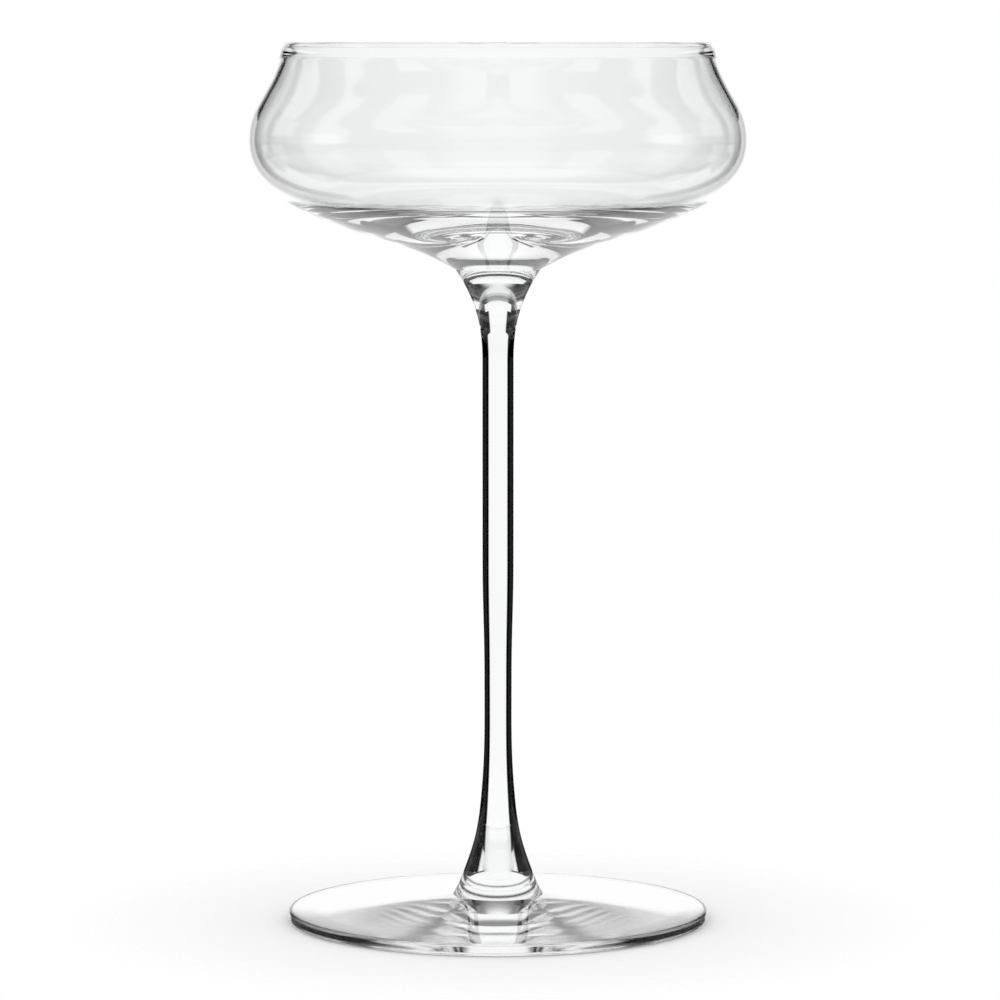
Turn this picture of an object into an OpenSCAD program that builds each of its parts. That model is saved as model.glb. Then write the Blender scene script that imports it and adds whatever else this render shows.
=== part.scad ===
// Coupe glass in clear crystal: a blown bowl, a drawn stem and a pressed foot, fused end to end.
// Millimetres, +Z up, origin at the middle of the ring that the foot rests on.

/* [Bowl] */
// Height of the bowl, from the stem joint to the top of the lip
bowl_h = 47.6; // [44:0.2:56]
// Outside diameter of the rim, across the middle of the lip
rim_d = 90.4; // [86:0.2:96]
// Inward lean of the wall at the rim, in degrees from upright
rim_lean = 14; // [4:1:20]
// Thickness of the rounded lip at the rim
rim_t = 1.8; // [1.2:0.1:2.4]
// Place above which the wall thickens into the lip, as a share of the way from the belly to the rim
lip_at = 0.83; // [0.6:0.01:0.9]
// Place of the waisted neck, as a share of the way from the rim to the belly
neck_at = 0.35; // [0.25:0.01:0.5]
// Inward lean of the wall at the neck, in degrees from upright
neck_lean = 28; // [22:1:34]
// Outside diameter of the belly, the widest part
belly_d = 105; // [98:0.5:112]
// Depth of the belly's widest line below the top of the lip
belly_drop = 20.4; // [18:0.2:23]
// Wall thickness, even from the floor's corner up to the lip
wall_t = 1.5; // [1:0.1:1.8]
// Outside diameter at the heel, where the round belly turns into the sloping underside
heel_d = 76.2; // [68:0.2:82]
// Height of the heel above the stem joint
heel_h = 11.1; // [9.6:0.1:12.6]
// Slope of the underside at the heel, in degrees from level
heel_slope = 23.4; // [18:0.2:28]
// Slope of the underside where it meets the stem, in degrees from level
base_slope = 30.5; // [20:0.5:38]
// Height of the middle of the inside floor above the heel, all solid below it
floor_lift = 0.8; // [0:0.1:1.4]
// Diameter of the inside floor
floor_d = 66; // [54:1:67]
// Rise of the floor from its middle to its edge
floor_rise = 0.9; // [0.3:0.1:1.3]
// Slope of the floor at its edge, in degrees from level
floor_slope = 5; // [3:1:8]
// Place where the floor's corner meets the wall, as a share of the way from the heel to the belly
corner_at = 0.24; // [0.2:0.02:0.4]

/* [Stem] */
// Height of the stem, from the foot joint to the bowl joint
stem_h = 127.5; // [110:0.5:150]
// Diameter of the straight upper shank
shank_d = 6.6; // [5.4:0.1:8]
// Diameter of the waist, the slimmest part
waist_d = 5.8; // [4.8:0.1:7]
// Height of the waist above the foot joint
waist_h = 41; // [34:1:50]
// Height above the foot joint at which the shank reaches its full diameter
swell_h = 66; // [56:1:78]
// Diameter of the flared head, at the bowl joint
head_d = 18; // [15:0.2:20]
// Height of the flared head
head_h = 19.4; // [15:0.2:25]
// Outward lean of the head at the bowl joint, in degrees from upright
head_lean = 33; // [24:1:40]
// Diameter of the flared base, at the foot joint
base_d = 14.3; // [12:0.1:16]
// Lean of the base at the foot joint, in degrees from upright
base_lean = 21; // [14:1:26]
// Diameter of the ankle, where the flared base fades into the shank
ankle_d = 7.4; // [6.4:0.1:8.6]
// Height of the ankle above the foot joint
ankle_h = 14.6; // [12:0.2:18]
// Lean of the ankle, in degrees from upright
ankle_lean = 5.5; // [3:0.5:8]

/* [Foot] */
// Height of the foot, from the table to the stem joint
foot_h = 10.9; // [9:0.1:13]
// Diameter of the foot
foot_d = 89; // [80:0.5:98]
// Thickness of the foot at its edge
edge_t = 2.6; // [2:0.1:3.6]
// Radius of the edge's upper corner
upper_round = 0.7; // [0.3:0.1:0.9]
// Radius of the edge's lower corner
lower_round = 0.9; // [0.3:0.1:1]
// Slope of the top at the edge, in degrees from level
edge_slope = 2.5; // [1:0.5:4]
// Diameter of the raised collar where it springs from the top of the foot
collar_d = 19.2; // [17:0.2:23]
// Height of the top of the foot where the collar springs from it
collar_h = 5.5; // [4.6:0.1:6.4]
// Slope of the top where the collar springs from it, in degrees from level
collar_slope = 9; // [5:1:14]
// Lean of the collar where it springs from the foot, in degrees from upright
collar_lean = 29; // [20:1:36]
// Width of the flat ring that the foot rests on
ring_w = 5; // [3:0.5:8]
// Rise of the hollow underside at the centre
dish_h = 0.3; // [0.2:0.1:1.2]

/* [Smoothness] */
// Sides of every round surface
round_steps = 128; // [48:16:256]
// Steps along each curved stretch of an outline
curve_steps = 14; // [8:2:24]

/* [Hidden] */

crystal = [0.94, 0.96, 0.96, 0.4];

// Headings along an outline, in degrees: outward is 0 and up is 90
outward = 0;
up = 90;
inward = 180;

// Handle length as a share of the chord, which keeps a curved stretch close to a round arc
ease = 0.39;

stem_z = foot_h;
bowl_z = stem_z + stem_h;
rim_z = bowl_z + bowl_h;

function heading(angle) = [cos(angle), sin(angle)];

function cubic(a, b, c, d, t) =
    pow(1 - t, 3) * a + 3 * pow(1 - t, 2) * t * b + 3 * (1 - t) * t * t * c + pow(t, 3) * d;

// A stretch from a to b that leaves a at one heading and reaches b at another, or its part after a share
// of the way; the first point is left out
function stretch(a, a_heading, b, b_heading, after = 0) =
    let (reach = ease * norm(b - a))
    let (a_handle = a + reach * heading(a_heading))
    let (b_handle = b - reach * heading(b_heading))
    [for (i = [1 : curve_steps]) cubic(a, a_handle, b_handle, b, after + (1 - after) * i / curve_steps)];

function arc(centre, radius, from_heading, to_heading) =
    [for (i = [0 : curve_steps])
        centre + radius * heading(from_heading + (to_heading - from_heading) * i / curve_steps)];

// The points between the ends of an outline, set back square to it by a thickness that eases from one
// value to another after a share of the way
function set_back(points, from_t, to_t, after = 0) =
    let (last = len(points) - 1)
    [for (i = [1 : last - 1])
        let (along = points[i + 1] - points[i - 1])
        let (share = max(0, i / last - after) / (1 - after))
        let (thickness = from_t + (to_t - from_t) * share * share * (3 - 2 * share))
        points[i] + thickness * [-along.y, along.x] / norm(along)];

function reversed(points) = [for (i = [len(points) - 1 : -1 : 0]) points[i]];

function past_first(points) = [for (i = [1 : len(points) - 1]) points[i]];

// Points shared by the pieces where they are fused
head_edge = [head_d / 2, bowl_z];
base_edge = [base_d / 2, stem_z];

// Outside of the bowl, from the stem joint up to the lip
lip = [(rim_d - rim_t) / 2, rim_z - rim_t / 2];
rim = lip + rim_t / 2 * heading(rim_lean);
belly = [belly_d / 2, rim_z - belly_drop];
neck = rim + neck_at * (belly - rim);
heel = [heel_d / 2, bowl_z + heel_h];

// Outside of the wall above the belly, which the inside follows
wall_outside = concat(
    stretch(belly, up, neck, up + neck_lean),
    stretch(neck, up + neck_lean, rim, up + rim_lean));

bowl_outside = concat(
    [head_edge],
    stretch(head_edge, base_slope, heel, heel_slope),
    stretch(heel, heel_slope, belly, up),
    wall_outside);

// Inside of the bowl, from the middle of the floor up to the lip
floor_centre = [0, heel.y + floor_lift];
floor_edge = floor_centre + [floor_d / 2, floor_rise];
low_wall = set_back(stretch(heel, heel_slope, belly, up, corner_at), wall_t, wall_t);
wall_foot = low_wall[0];
foot_run = low_wall[1] - wall_foot;
inner_belly = belly - [wall_t, 0];

bowl_inside = concat(
    [floor_centre],
    stretch(floor_centre, outward, floor_edge, floor_slope),
    stretch(floor_edge, floor_slope, wall_foot, atan2(foot_run.y, foot_run.x)),
    past_first(low_wall),
    [inner_belly],
    set_back(concat([belly], wall_outside), wall_t, rim_t, lip_at));

bowl_outline = concat(
    [[0, bowl_z]],
    bowl_outside,
    arc(lip, rim_t / 2, rim_lean, rim_lean + inward),
    reversed(bowl_inside));

// Side of the stem, from the foot joint up to the bowl joint
ankle = [ankle_d / 2, stem_z + ankle_h];
waist = [waist_d / 2, stem_z + waist_h];
swell = [shank_d / 2, stem_z + swell_h];
throat = [shank_d / 2, bowl_z - head_h];

stem_outline = concat(
    [[0, stem_z], base_edge],
    stretch(base_edge, up + base_lean, ankle, up + ankle_lean),
    stretch(ankle, up + ankle_lean, waist, up),
    stretch(waist, up, swell, up),
    [throat],
    stretch(throat, up, head_edge, up - head_lean),
    [[0, bowl_z]]);

// Section of the foot, from the hollow underside round the edge and up the collar
edge_r = foot_d / 2;
dish_centre = [0, dish_h];
ring_inner = [edge_r - lower_round - ring_w, 0];
dish_slope = atan(2 * dish_h / ring_inner.x);
lower_corner = [edge_r - lower_round, lower_round];
upper_corner = [edge_r - upper_round, edge_t - upper_round];
plate_edge = upper_corner + upper_round * heading(up - edge_slope);
collar_root = [collar_d / 2, collar_h];

foot_outline = concat(
    [dish_centre],
    stretch(dish_centre, outward, ring_inner, -dish_slope),
    arc(lower_corner, lower_round, -up, outward),
    arc(upper_corner, upper_round, outward, up - edge_slope),
    stretch(plate_edge, inward - edge_slope, collar_root, inward - collar_slope),
    stretch(collar_root, up + collar_lean, base_edge, up + base_lean),
    [[0, stem_z]]);

module turned(outline) {
    rotate_extrude($fn = round_steps) polygon(outline);
}

module bowl() { color(crystal) turned(bowl_outline); }

module stem() { color(crystal) turned(stem_outline); }

module foot() { color(crystal) turned(foot_outline); }

bowl();
stem();
foot();
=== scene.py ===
import math

import bpy
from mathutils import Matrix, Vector


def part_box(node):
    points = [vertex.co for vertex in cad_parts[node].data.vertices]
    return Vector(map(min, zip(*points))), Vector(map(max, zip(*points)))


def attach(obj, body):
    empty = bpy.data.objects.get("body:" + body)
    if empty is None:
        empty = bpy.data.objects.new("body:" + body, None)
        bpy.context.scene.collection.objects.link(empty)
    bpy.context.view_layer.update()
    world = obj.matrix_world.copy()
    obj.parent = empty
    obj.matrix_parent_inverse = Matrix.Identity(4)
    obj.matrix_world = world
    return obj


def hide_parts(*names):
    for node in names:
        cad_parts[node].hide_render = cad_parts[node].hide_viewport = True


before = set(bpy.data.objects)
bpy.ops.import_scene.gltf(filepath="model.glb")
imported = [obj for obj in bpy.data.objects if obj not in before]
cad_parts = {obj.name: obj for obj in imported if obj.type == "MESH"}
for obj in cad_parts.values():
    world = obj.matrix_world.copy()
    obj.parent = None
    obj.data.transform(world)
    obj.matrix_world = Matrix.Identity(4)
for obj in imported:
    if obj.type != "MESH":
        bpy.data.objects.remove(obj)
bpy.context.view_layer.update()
print("frame loaded:", ", ".join(sorted(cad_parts)))

mm = 0.001
outward, up, inward = 0, 90, 180          # headings along an outline, in degrees
ease = 0.39                               # handle length of a curve, as a share of its chord
curveSteps = 32                           # steps along each curved stretch
roundSteps = 256                          # steps round the axis
onAxis = 1e-6                             # points nearer the axis than this lie on it, in millimetres
creaseAngle = 25                          # sharper corners than this stay crisp, in degrees
glassSlot, weldSlot = 0, 1                # material slots of a piece

# heights and widths that the pieces share, taken from the frame
stemLow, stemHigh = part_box("stem")
bowlLow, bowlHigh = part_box("bowl")
stemZ = stemLow.z / mm
bowlZ = bowlLow.z / mm
rimZ = bowlHigh.z / mm
bellyRadius = bowlHigh.x / mm
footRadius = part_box("foot")[1].x / mm
headEdge = Vector((stemHigh.x / mm, bowlZ))


# outlines are drawn in millimetres, as (radius, height)

def heading(angle):
    return Vector((math.cos(math.radians(angle)), math.sin(math.radians(angle))))


def stretch(start, startHeading, end, endHeading, after=0):
    # a curve between two headings, or its part after a share of the way
    reach = ease * (end - start).length
    startHandle = start + reach * heading(startHeading)
    endHandle = end - reach * heading(endHeading)
    points = []
    for step in range(1, curveSteps + 1):          # the first point is left out
        t = after + (1 - after) * step / curveSteps
        points.append((1 - t) ** 3 * start + 3 * (1 - t) ** 2 * t * startHandle
                      + 3 * (1 - t) * t ** 2 * endHandle + t ** 3 * end)
    return points


def arc(centre, radius, fromHeading, toHeading):
    turn = (toHeading - fromHeading) / curveSteps
    return [centre + radius * heading(fromHeading + turn * step) for step in range(curveSteps + 1)]


def setBack(points, fromThickness, toThickness, after=0):
    # an outline's inside, with a thickness that eases from one value to another after a share of the way
    last = len(points) - 1
    inside = []
    for i in range(1, last):                       # only the points between the ends
        along = (points[i + 1] - points[i - 1]).normalized()
        share = max(0, i / last - after) / (1 - after)
        thickness = fromThickness + (toThickness - fromThickness) * share ** 2 * (3 - 2 * share)
        inside.append(points[i] + thickness * Vector((-along.y, along.x)))
    return inside


def turned(name, outline, welds, glass):
    # turns a closed outline about the axis; welds names the ends of the outline that are fused faces
    vertices, faces, faceSlots, rings = [], [], [], []
    for point in outline:
        if point.x < onAxis:
            rings.append([len(vertices)] * roundSteps)
            vertices.append((0, 0, point.y * mm))
            continue
        rings.append(range(len(vertices), len(vertices) + roundSteps))
        for step in range(roundSteps):
            angle = 2 * math.pi * step / roundSteps
            vertices.append((point.x * mm * math.cos(angle), point.x * mm * math.sin(angle), point.y * mm))
    lastBand = len(rings) - 2
    for band in range(len(rings) - 1):
        lower, upper = rings[band], rings[band + 1]
        weld = (band == 0 and "start" in welds) or (band == lastBand and "end" in welds)
        for step in range(roundSteps):
            beside = (step + 1) % roundSteps
            corners = [lower[step], lower[beside], upper[beside], upper[step]]
            faces.append(list(dict.fromkeys(corners)))   # a triangle at the axis
            faceSlots.append(weldSlot if weld else glassSlot)
    mesh = bpy.data.meshes.new(name)
    mesh.from_pydata(vertices, [], faces)
    mesh.update()
    piece = bpy.data.objects.new(name, mesh)
    bpy.context.scene.collection.objects.link(piece)
    mesh.materials.append(glass)
    mesh.materials.append(fusedGlass)
    mesh.polygons.foreach_set("material_index", faceSlots)
    mesh.polygons.foreach_set("use_smooth", [True] * len(faces))
    mesh.set_sharp_from_angle(angle=math.radians(creaseAngle))
    return piece


# nodes that the materials and the studio share

def maths(tree, operation, *values):
    node = tree.nodes.new("ShaderNodeMath")
    node.operation = operation
    for socket, value in zip(node.inputs, values):
        if isinstance(value, bpy.types.NodeSocket):
            tree.links.new(value, socket)
        else:
            socket.default_value = value
    return node.outputs["Value"]


def mapped(tree, value, start, end, low=0, high=1, smooth=False):
    # low up to the start, high past the end
    node = tree.nodes.new("ShaderNodeMapRange")
    if smooth:
        node.interpolation_type = "SMOOTHSTEP"
    tree.links.new(value, node.inputs["Value"])
    node.inputs["From Min"].default_value = start
    node.inputs["From Max"].default_value = end
    node.inputs["To Min"].default_value = low
    node.inputs["To Max"].default_value = high
    return node.outputs["Result"]


def heightOf(tree, place):
    split = tree.nodes.new("ShaderNodeSeparateXYZ")
    tree.links.new(place, split.inputs["Vector"])
    return split.outputs["Z"]


# clear crystal, in metres
crystalLook = {
    "tint": (0.985, 0.99, 0.992, 1),
    "index": 1.52,
    "rippleSize": 38.0,        # ripples to the metre
    "rippleDetail": 1,
    "rippleDepth": 0.000004,
    "rippleStrength": 0.25,
}
stemLook = {
    **crystalLook,
    "paintedShadeStart": 0.18,         # painted shade darkens its sides past this turn away from the eye
    "paintedShadeEnd": 0.225,
    # near-black tint of the painted shade
    "paintedShadeTint": (0.0003, 0.0003, 0.0003, 1),
    "headDrop": 0.017,         # the painted shade reaches as far as the flared head, this far below the top
    "headFade": 0.004,
}
footLook = {
    **crystalLook,
    "groundTop": 0.0004,       # its underside is lightly ground up to this height
    "polishStart": 0.0006,     # and polished above this
    "groundRoughness": 0.06,
}


def crystalMaterial(name, look, finish=None):
    material = bpy.data.materials.new(name)
    material.use_nodes = True
    tree = material.node_tree
    glass = tree.nodes["Principled BSDF"]
    glass.inputs["Base Color"].default_value = look["tint"]
    glass.inputs["Transmission Weight"].default_value = 1
    glass.inputs["Roughness"].default_value = 0
    glass.inputs["IOR"].default_value = look["index"]
    place = tree.nodes.new("ShaderNodeTexCoord").outputs["Object"]
    ripple = tree.nodes.new("ShaderNodeTexNoise")
    ripple.inputs["Scale"].default_value = look["rippleSize"]
    ripple.inputs["Detail"].default_value = look["rippleDetail"]
    bump = tree.nodes.new("ShaderNodeBump")
    bump.inputs["Strength"].default_value = look["rippleStrength"]
    bump.inputs["Distance"].default_value = look["rippleDepth"]
    tree.links.new(place, ripple.inputs["Vector"])
    tree.links.new(ripple.outputs["Fac"], bump.inputs["Height"])
    tree.links.new(bump.outputs["Normal"], glass.inputs["Normal"])
    if finish:
        finish(tree, place, glass, look)
    return material


def paintedSideShade(tree, place, glass, look):
    # painted shade: the stem's glass is tinted near-black towards its sides by its turn away from the eye,
    # standing in for dark studio boards seen through it
    level = tree.nodes.new("ShaderNodeVectorMath")       # the place without its height
    level.operation = "MULTIPLY"
    level.inputs[1].default_value = (1, 1, 0)
    straight = tree.nodes.new("ShaderNodeVectorMath")    # straight out from the axis
    straight.operation = "NORMALIZE"
    facing = tree.nodes.new("ShaderNodeLayerWeight")
    side = tree.nodes.new("ShaderNodeNewGeometry")
    tree.links.new(place, level.inputs[0])
    tree.links.new(level.outputs["Vector"], straight.inputs[0])
    tree.links.new(straight.outputs["Vector"], facing.inputs["Normal"])
    # the painted shade is left off where light is on its way out, and off the flared head
    entering = maths(tree, "SUBTRACT", facing.outputs["Facing"], side.outputs["Backfacing"])
    fadeStart = stemHigh.z - look["headDrop"]
    below = mapped(tree, heightOf(tree, place), fadeStart, fadeStart + look["headFade"], 1, 0)
    # painted shade: the ramp runs from the clear tint to near-black, for both the base colour and the
    # mirrored colour
    ramp = tree.nodes.new("ShaderNodeValToRGB")
    clear, dark = ramp.color_ramp.elements
    clear.position, clear.color = look["paintedShadeStart"], look["tint"]
    dark.position, dark.color = look["paintedShadeEnd"], look["paintedShadeTint"]
    tree.links.new(maths(tree, "MULTIPLY", entering, below), ramp.inputs["Fac"])
    tree.links.new(ramp.outputs["Color"], glass.inputs["Base Color"])
    tree.links.new(ramp.outputs["Color"], glass.inputs["Specular Tint"])


def groundUnderside(tree, place, glass, look):
    ground = mapped(tree, heightOf(tree, place), look["groundTop"], look["polishStart"],
                    look["groundRoughness"], 0)
    tree.links.new(ground, glass.inputs["Roughness"])


def fusedGlassMaterial(name):
    # nothing shows where two pieces are fused
    material = bpy.data.materials.new(name)
    material.use_nodes = True
    nodes, links = material.node_tree.nodes, material.node_tree.links
    nodes.remove(nodes["Principled BSDF"])
    through = nodes.new("ShaderNodeBsdfTransparent")
    links.new(through.outputs["BSDF"], nodes["Material Output"].inputs["Surface"])
    return material


crystal = crystalMaterial("crystal", crystalLook)
# the stem's glass carries painted shade on its sides
stemCrystalPaintedShade = crystalMaterial("stemCrystalPaintedShade", stemLook, paintedSideShade)
footCrystal = crystalMaterial("footCrystal", footLook, groundUnderside)
fusedGlass = fusedGlassMaterial("fusedGlass")
print("materials made")

# bowl, in millimetres and degrees
bowlShape = {
    "rimWidth": 90.4,
    "rimLean": 14,
    "rimWall": 1.8,
    "lipAt": 0.83,             # where the wall thickens into the lip, from the belly to the rim
    "neckAt": 0.35,            # from the rim to the belly
    "neckLean": 28,
    "bellyDrop": 20.4,
    "wall": 1.5,
    "heelWidth": 76.2,
    "heelHeight": 11.1,
    "heelSlope": 23.4,
    "baseSlope": 30.5,
    "floorLift": 0.8,          # middle of the inside floor above the heel
    "floorWidth": 66,
    "floorRise": 0.9,
    "floorSlope": 5,
    "cornerAt": 0.29,          # where the floor's corner meets the wall, from the heel to the belly
}


def makeBowl(shape):
    lipRound = shape["rimWall"] / 2
    lip = Vector((shape["rimWidth"] / 2 - lipRound, rimZ - lipRound))
    rim = lip + lipRound * heading(shape["rimLean"])
    belly = Vector((bellyRadius, rimZ - shape["bellyDrop"]))
    neck = rim + shape["neckAt"] * (belly - rim)
    heel = Vector((shape["heelWidth"] / 2, bowlZ + shape["heelHeight"]))
    neckHeading, rimHeading = up + shape["neckLean"], up + shape["rimLean"]
    wall = stretch(belly, up, neck, neckHeading) + stretch(neck, neckHeading, rim, rimHeading)
    outside = ([headEdge] + stretch(headEdge, shape["baseSlope"], heel, shape["heelSlope"])
               + stretch(heel, shape["heelSlope"], belly, up) + wall)
    floorCentre = Vector((0, heel.y + shape["floorLift"]))
    floorEdge = floorCentre + Vector((shape["floorWidth"] / 2, shape["floorRise"]))
    lowWall = setBack(stretch(heel, shape["heelSlope"], belly, up, shape["cornerAt"]),
                      shape["wall"], shape["wall"])
    footRun = lowWall[1] - lowWall[0]
    footHeading = math.degrees(math.atan2(footRun.y, footRun.x))
    innerBelly = belly - Vector((shape["wall"], 0))
    inside = ([floorCentre] + stretch(floorCentre, outward, floorEdge, shape["floorSlope"])
              + stretch(floorEdge, shape["floorSlope"], lowWall[0], footHeading)
              + lowWall[1:] + [innerBelly]
              + setBack([belly] + wall, shape["wall"], shape["rimWall"], shape["lipAt"]))
    lipArc = arc(lip, lipRound, shape["rimLean"], shape["rimLean"] + inward)[1:]
    outline = [Vector((0, bowlZ))] + outside + lipArc + inside[::-1]
    return turned("crystalBowl", outline, ["start"], crystal)


# stem, in millimetres and degrees
stemShape = {
    "shankWidth": 6.6,
    "waistWidth": 5.8,
    "waistHeight": 41,
    "swellHeight": 66,
    "headHeight": 19.4,
    "headLean": 33,
    "baseWidth": 14.3,
    "baseLean": 21,
    "ankleWidth": 7.4,
    "ankleHeight": 14.6,
    "ankleLean": 5.5,
}
baseEdge = Vector((stemShape["baseWidth"] / 2, stemZ))


def makeStem(shape):
    ankle = Vector((shape["ankleWidth"] / 2, stemZ + shape["ankleHeight"]))
    waist = Vector((shape["waistWidth"] / 2, stemZ + shape["waistHeight"]))
    swell = Vector((shape["shankWidth"] / 2, stemZ + shape["swellHeight"]))
    throat = Vector((shape["shankWidth"] / 2, bowlZ - shape["headHeight"]))
    ankleHeading = up + shape["ankleLean"]
    side = ([baseEdge] + stretch(baseEdge, up + shape["baseLean"], ankle, ankleHeading)
            + stretch(ankle, ankleHeading, waist, up) + stretch(waist, up, swell, up)
            + [throat] + stretch(throat, up, headEdge, up - shape["headLean"]))
    outline = [Vector((0, stemZ))] + side + [Vector((0, bowlZ))]
    return turned("crystalStem", outline, ["start", "end"], stemCrystalPaintedShade)


# foot, in millimetres and degrees
footShape = {
    "edgeHeight": 2.6,
    "upperRound": 0.7,
    "lowerRound": 0.9,
    "edgeSlope": 2.5,
    "collarWidth": 19.2,
    "collarHeight": 5.5,
    "collarSlope": 9,
    "collarLean": 29,
    "ringWidth": 5,
    "dishHeight": 0.3,
}


def makeFoot(shape):
    dishCentre = Vector((0, shape["dishHeight"]))
    ringInner = Vector((footRadius - shape["lowerRound"] - shape["ringWidth"], 0))
    lowerCorner = Vector((footRadius - shape["lowerRound"], shape["lowerRound"]))
    upperCorner = Vector((footRadius - shape["upperRound"], shape["edgeHeight"] - shape["upperRound"]))
    plateEdge = upperCorner + shape["upperRound"] * heading(up - shape["edgeSlope"])
    collarRoot = Vector((shape["collarWidth"] / 2, shape["collarHeight"]))
    dishSlope = math.degrees(math.atan(2 * shape["dishHeight"] / ringInner.x))
    underside = [dishCentre] + stretch(dishCentre, outward, ringInner, -dishSlope)
    edge = (arc(lowerCorner, shape["lowerRound"], -up, outward)
            + arc(upperCorner, shape["upperRound"], outward, up - shape["edgeSlope"]))
    top = (stretch(plateEdge, inward - shape["edgeSlope"], collarRoot, inward - shape["collarSlope"])
           + stretch(collarRoot, up + shape["collarLean"], baseEdge, up + stemShape["baseLean"]))
    return turned("crystalFoot", underside + edge + top + [Vector((0, stemZ))], ["end"], footCrystal)


pieces = {"bowl": makeBowl(bowlShape), "stem": makeStem(stemShape), "foot": makeFoot(footShape)}
for node, piece in pieces.items():
    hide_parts(node)
    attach(piece, "root")
print("pieces turned:", ", ".join(piece.name for piece in pieces.values()))

# studio, white fields round the glass with dark boards between them, in degrees from the far side
studio = {
    "fieldHalf": 27,         # half width of the white field behind the glass
    "fieldSoft": 2,
    "fieldTop": 36,
    "topSoft": 3,
    "fieldTaper": 9,         # narrower by this between two heights
    "taperReach": (5.8, 20),
    "paleAt": 49,            # pale low boards just beside it
    "paleHalf": 12,
    "paleSoft": 2,
    "paleReach": (-18, -2.5),
    "paleLight": 0.85,
    "sideAt": 90,            # low white fields square to it, on both sides
    "sideHalf": 12,
    "sideSoft": 4,
    "sideReach": (-42, 8),
    "rearAt": 180,           # low white field behind the camera
    "backHalf": 25,
    "backSoft": 10,
    "backTop": 4,
    "backFade": 14,
    "rearHalf": 40,          # and a dimmer one there at every height
    "rearSoft": 25,
    "rearLight": 0.2,
    "gapHalf": 10,           # low gaps between the boards at the four corners
    "gapSoft": 1,
    "farAt": 45,
    "farGap": (-46, -18),    # their reach below level, behind the glass
    "nearAt": 135,
    "nearGap": (-42, -9.5),  # and behind the camera
    "reachSoft": 0.5,
    "tableEdge": -45,        # the white table starts below this
    "tableSoft": 1,
    "ceilingEdge": 60,       # the white ceiling starts above this
    "ceilingSoft": 8,
    "roomLow": 0.45,         # light that the glass mirrors from below and from above
    "roomHigh": 0.7,
    "roomEdge": 3,
    "roomSoft": 15,
    "roomStart": 38,         # past the boards beside the white field
    "roomFade": 8,
    "flagReach": (-12, -2),  # dark flags that the stem mirrors
    "mirrorHalf": 18,        # the white field as the glass mirrors it
    "mirrorSoft": 4,
}


def makeStudio(look):
    world = bpy.data.worlds.new("studio")
    bpy.context.scene.world = world
    world.use_nodes = True
    tree = world.node_tree
    place = tree.nodes.new("ShaderNodeTexCoord")
    split = tree.nodes.new("ShaderNodeSeparateXYZ")
    tree.links.new(place.outputs["Generated"], split.inputs["Vector"])
    east, north, height = split.outputs
    aside = maths(tree, "ABSOLUTE", maths(tree, "ARCTAN2", east, north))
    lift = maths(tree, "ARCSINE", height)

    def rise(value, edge, soft, low=0, high=1):
        start, end = math.radians(edge - soft), math.radians(edge + soft)
        return mapped(tree, value, start, end, low, high, smooth=True)

    def board(centre, half, soft, light=1):
        away = maths(tree, "ABSOLUTE", maths(tree, "SUBTRACT", aside, math.radians(centre)))
        return rise(away, half, soft, light, 0)

    def between(reach, amount=1):
        bottom, top = reach
        return maths(tree, "MULTIPLY", rise(lift, bottom, look["reachSoft"], 0, amount),
                     rise(lift, top, look["reachSoft"], 1, 0))

    def lowBoard(centre, half, soft, reach, light=1):
        return maths(tree, "MULTIPLY", board(centre, half, soft, light), between(reach))

    def brightest(*values):
        result = values[0]
        for value in values[1:]:
            result = maths(tree, "MAXIMUM", result, value)
        return result

    # what shows through the glass
    tapered = maths(tree, "ADD", aside, between(look["taperReach"], math.radians(look["fieldTaper"])))
    front = maths(tree, "MULTIPLY", rise(tapered, look["fieldHalf"], look["fieldSoft"], 1, 0),
                  rise(lift, look["fieldTop"], look["topSoft"], 1, 0))
    back = maths(tree, "MULTIPLY", board(look["rearAt"], look["backHalf"], look["backSoft"]),
                 rise(lift, look["backTop"], look["backFade"], 1, 0))
    field = brightest(front,
                      lowBoard(look["paleAt"], look["paleHalf"], look["paleSoft"], look["paleReach"],
                               look["paleLight"]),
                      board(look["rearAt"], look["rearHalf"], look["rearSoft"], look["rearLight"]),
                      back,
                      lowBoard(look["sideAt"], look["sideHalf"], look["sideSoft"], look["sideReach"]),
                      lowBoard(look["farAt"], look["gapHalf"], look["gapSoft"], look["farGap"]),
                      lowBoard(look["nearAt"], look["gapHalf"], look["gapSoft"], look["nearGap"]),
                      rise(lift, look["tableEdge"], look["tableSoft"], 1, 0),
                      rise(lift, look["ceilingEdge"], look["ceilingSoft"]))

    # what the glass mirrors
    walls = rise(lift, look["roomEdge"], look["roomSoft"], look["roomLow"], look["roomHigh"])
    clear = maths(tree, "MULTIPLY", rise(aside, look["roomStart"], look["roomFade"]),
                  maths(tree, "SUBTRACT", 1, between(look["flagReach"])))
    farSide = board(0, look["mirrorHalf"], look["mirrorSoft"])
    room = brightest(maths(tree, "MULTIPLY", walls, clear), farSide)

    ray = tree.nodes.new("ShaderNodeLightPath")
    glassSees = tree.nodes.new("ShaderNodeMix")
    tree.links.new(ray.outputs["Is Transmission Ray"], glassSees.inputs["Factor"])
    tree.links.new(room, glassSees.inputs["A"])
    tree.links.new(field, glassSees.inputs["B"])
    strength = tree.nodes.new("ShaderNodeMix")       # plain white for all that isn't seen in the glass
    tree.links.new(ray.outputs["Is Glossy Ray"], strength.inputs["Factor"])
    strength.inputs["A"].default_value = 1
    tree.links.new(glassSees.outputs["Result"], strength.inputs["B"])
    background = tree.nodes["Background"]
    background.inputs["Color"].default_value = (1, 1, 1, 1)
    tree.links.new(strength.outputs["Result"], background.inputs["Strength"])


# light turns many times inside thick glass
bounces = {
    "all": 32,
    "through": 32,
    "mirrored": 24,
}


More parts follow.
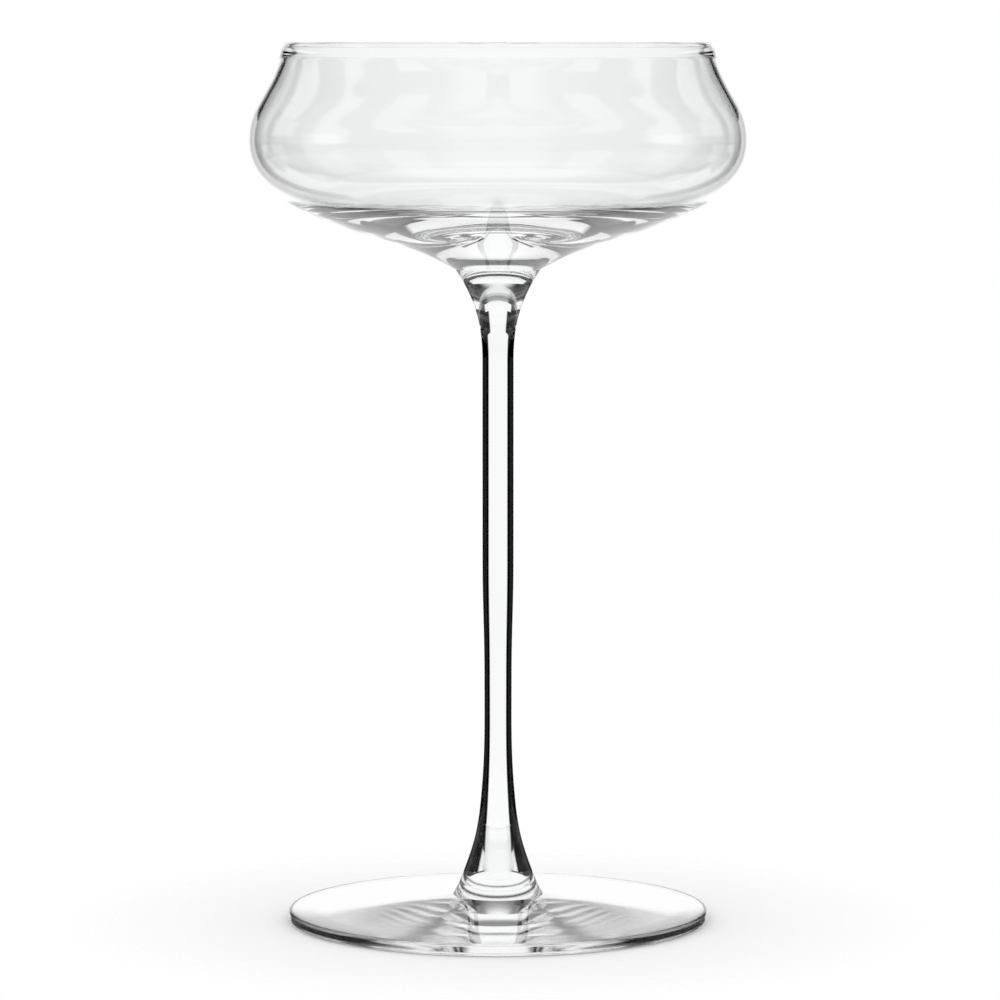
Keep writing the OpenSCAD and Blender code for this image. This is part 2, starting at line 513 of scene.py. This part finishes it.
def setBounces(limits):
    cycles = bpy.context.scene.cycles
    cycles.max_bounces = limits["all"]
    cycles.transmission_bounces = limits["through"]
    cycles.glossy_bounces = limits["mirrored"]


makeStudio(studio)
setBounces(bounces)

# floor, in metres
floorLook = {
    "colour": (0.98, 0.98, 0.98, 1),
    "drop": 0.00005,         # just under the foot's ring
    "fadeStart": 0.045,      # it fades into the white field away from the axis
    "fadeEnd": 0.1,
}


def makeFloor(look):
    half, height = look["fadeEnd"], -look["drop"]
    corners = [(-half, -half, height), (half, -half, height), (half, half, height), (-half, half, height)]
    mesh = bpy.data.meshes.new("paleFloor")
    mesh.from_pydata(corners, [], [range(len(corners))])
    floor = bpy.data.objects.new("paleFloor", mesh)
    bpy.context.scene.collection.objects.link(floor)
    material = bpy.data.materials.new("paleFloor")
    material.use_nodes = True
    tree = material.node_tree
    paper = tree.nodes["Principled BSDF"]
    paper.inputs["Base Color"].default_value = look["colour"]
    paper.inputs["Roughness"].default_value = 1
    paper.inputs["Specular IOR Level"].default_value = 0
    place = tree.nodes.new("ShaderNodeTexCoord")
    reach = tree.nodes.new("ShaderNodeVectorMath")
    reach.operation = "LENGTH"
    tree.links.new(place.outputs["Object"], reach.inputs[0])
    fade = mapped(tree, reach.outputs["Value"], look["fadeStart"], look["fadeEnd"], smooth=True)
    ray = tree.nodes.new("ShaderNodeLightPath")
    gone = maths(tree, "MAXIMUM", fade, ray.outputs["Is Glossy Ray"])   # the glass sees the white field
    whiteField = tree.nodes.new("ShaderNodeBsdfTransparent")
    blend = tree.nodes.new("ShaderNodeMixShader")
    tree.links.new(gone, blend.inputs["Fac"])
    tree.links.new(paper.outputs["BSDF"], blend.inputs[1])
    tree.links.new(whiteField.outputs["BSDF"], blend.inputs[2])
    tree.links.new(blend.outputs["Shader"], tree.nodes["Material Output"].inputs["Surface"])
    mesh.materials.append(material)


makeFloor(floorLook)
print("studio set")

# camera, at the height of the rim, in metres
cameraPlace = {
    "lens": 178.3,           # millimetres
    "sensor": 36,            # millimetres
    "nearest": 0.01,
    "distance": 1.043,       # from the axis
    "height": 0.186,
    "aside": 0.00042,
    "levelTurn": 90,         # degrees, at which it looks level
    "pitch": 5.28,           # degrees down from there
}


def makeCamera(place):
    camera = bpy.data.cameras.new("studioCamera")
    camera.lens = place["lens"]
    camera.sensor_width = place["sensor"]
    camera.clip_start = place["nearest"]
    holder = bpy.data.objects.new("studioCamera", camera)
    bpy.context.scene.collection.objects.link(holder)
    holder.location = (place["aside"], -place["distance"], place["height"])
    holder.rotation_euler = (math.radians(place["levelTurn"] - place["pitch"]), 0, 0)
    bpy.context.scene.camera = holder


makeCamera(cameraPlace)
bpy.context.scene.view_settings.view_transform = "Standard"
print("camera set")
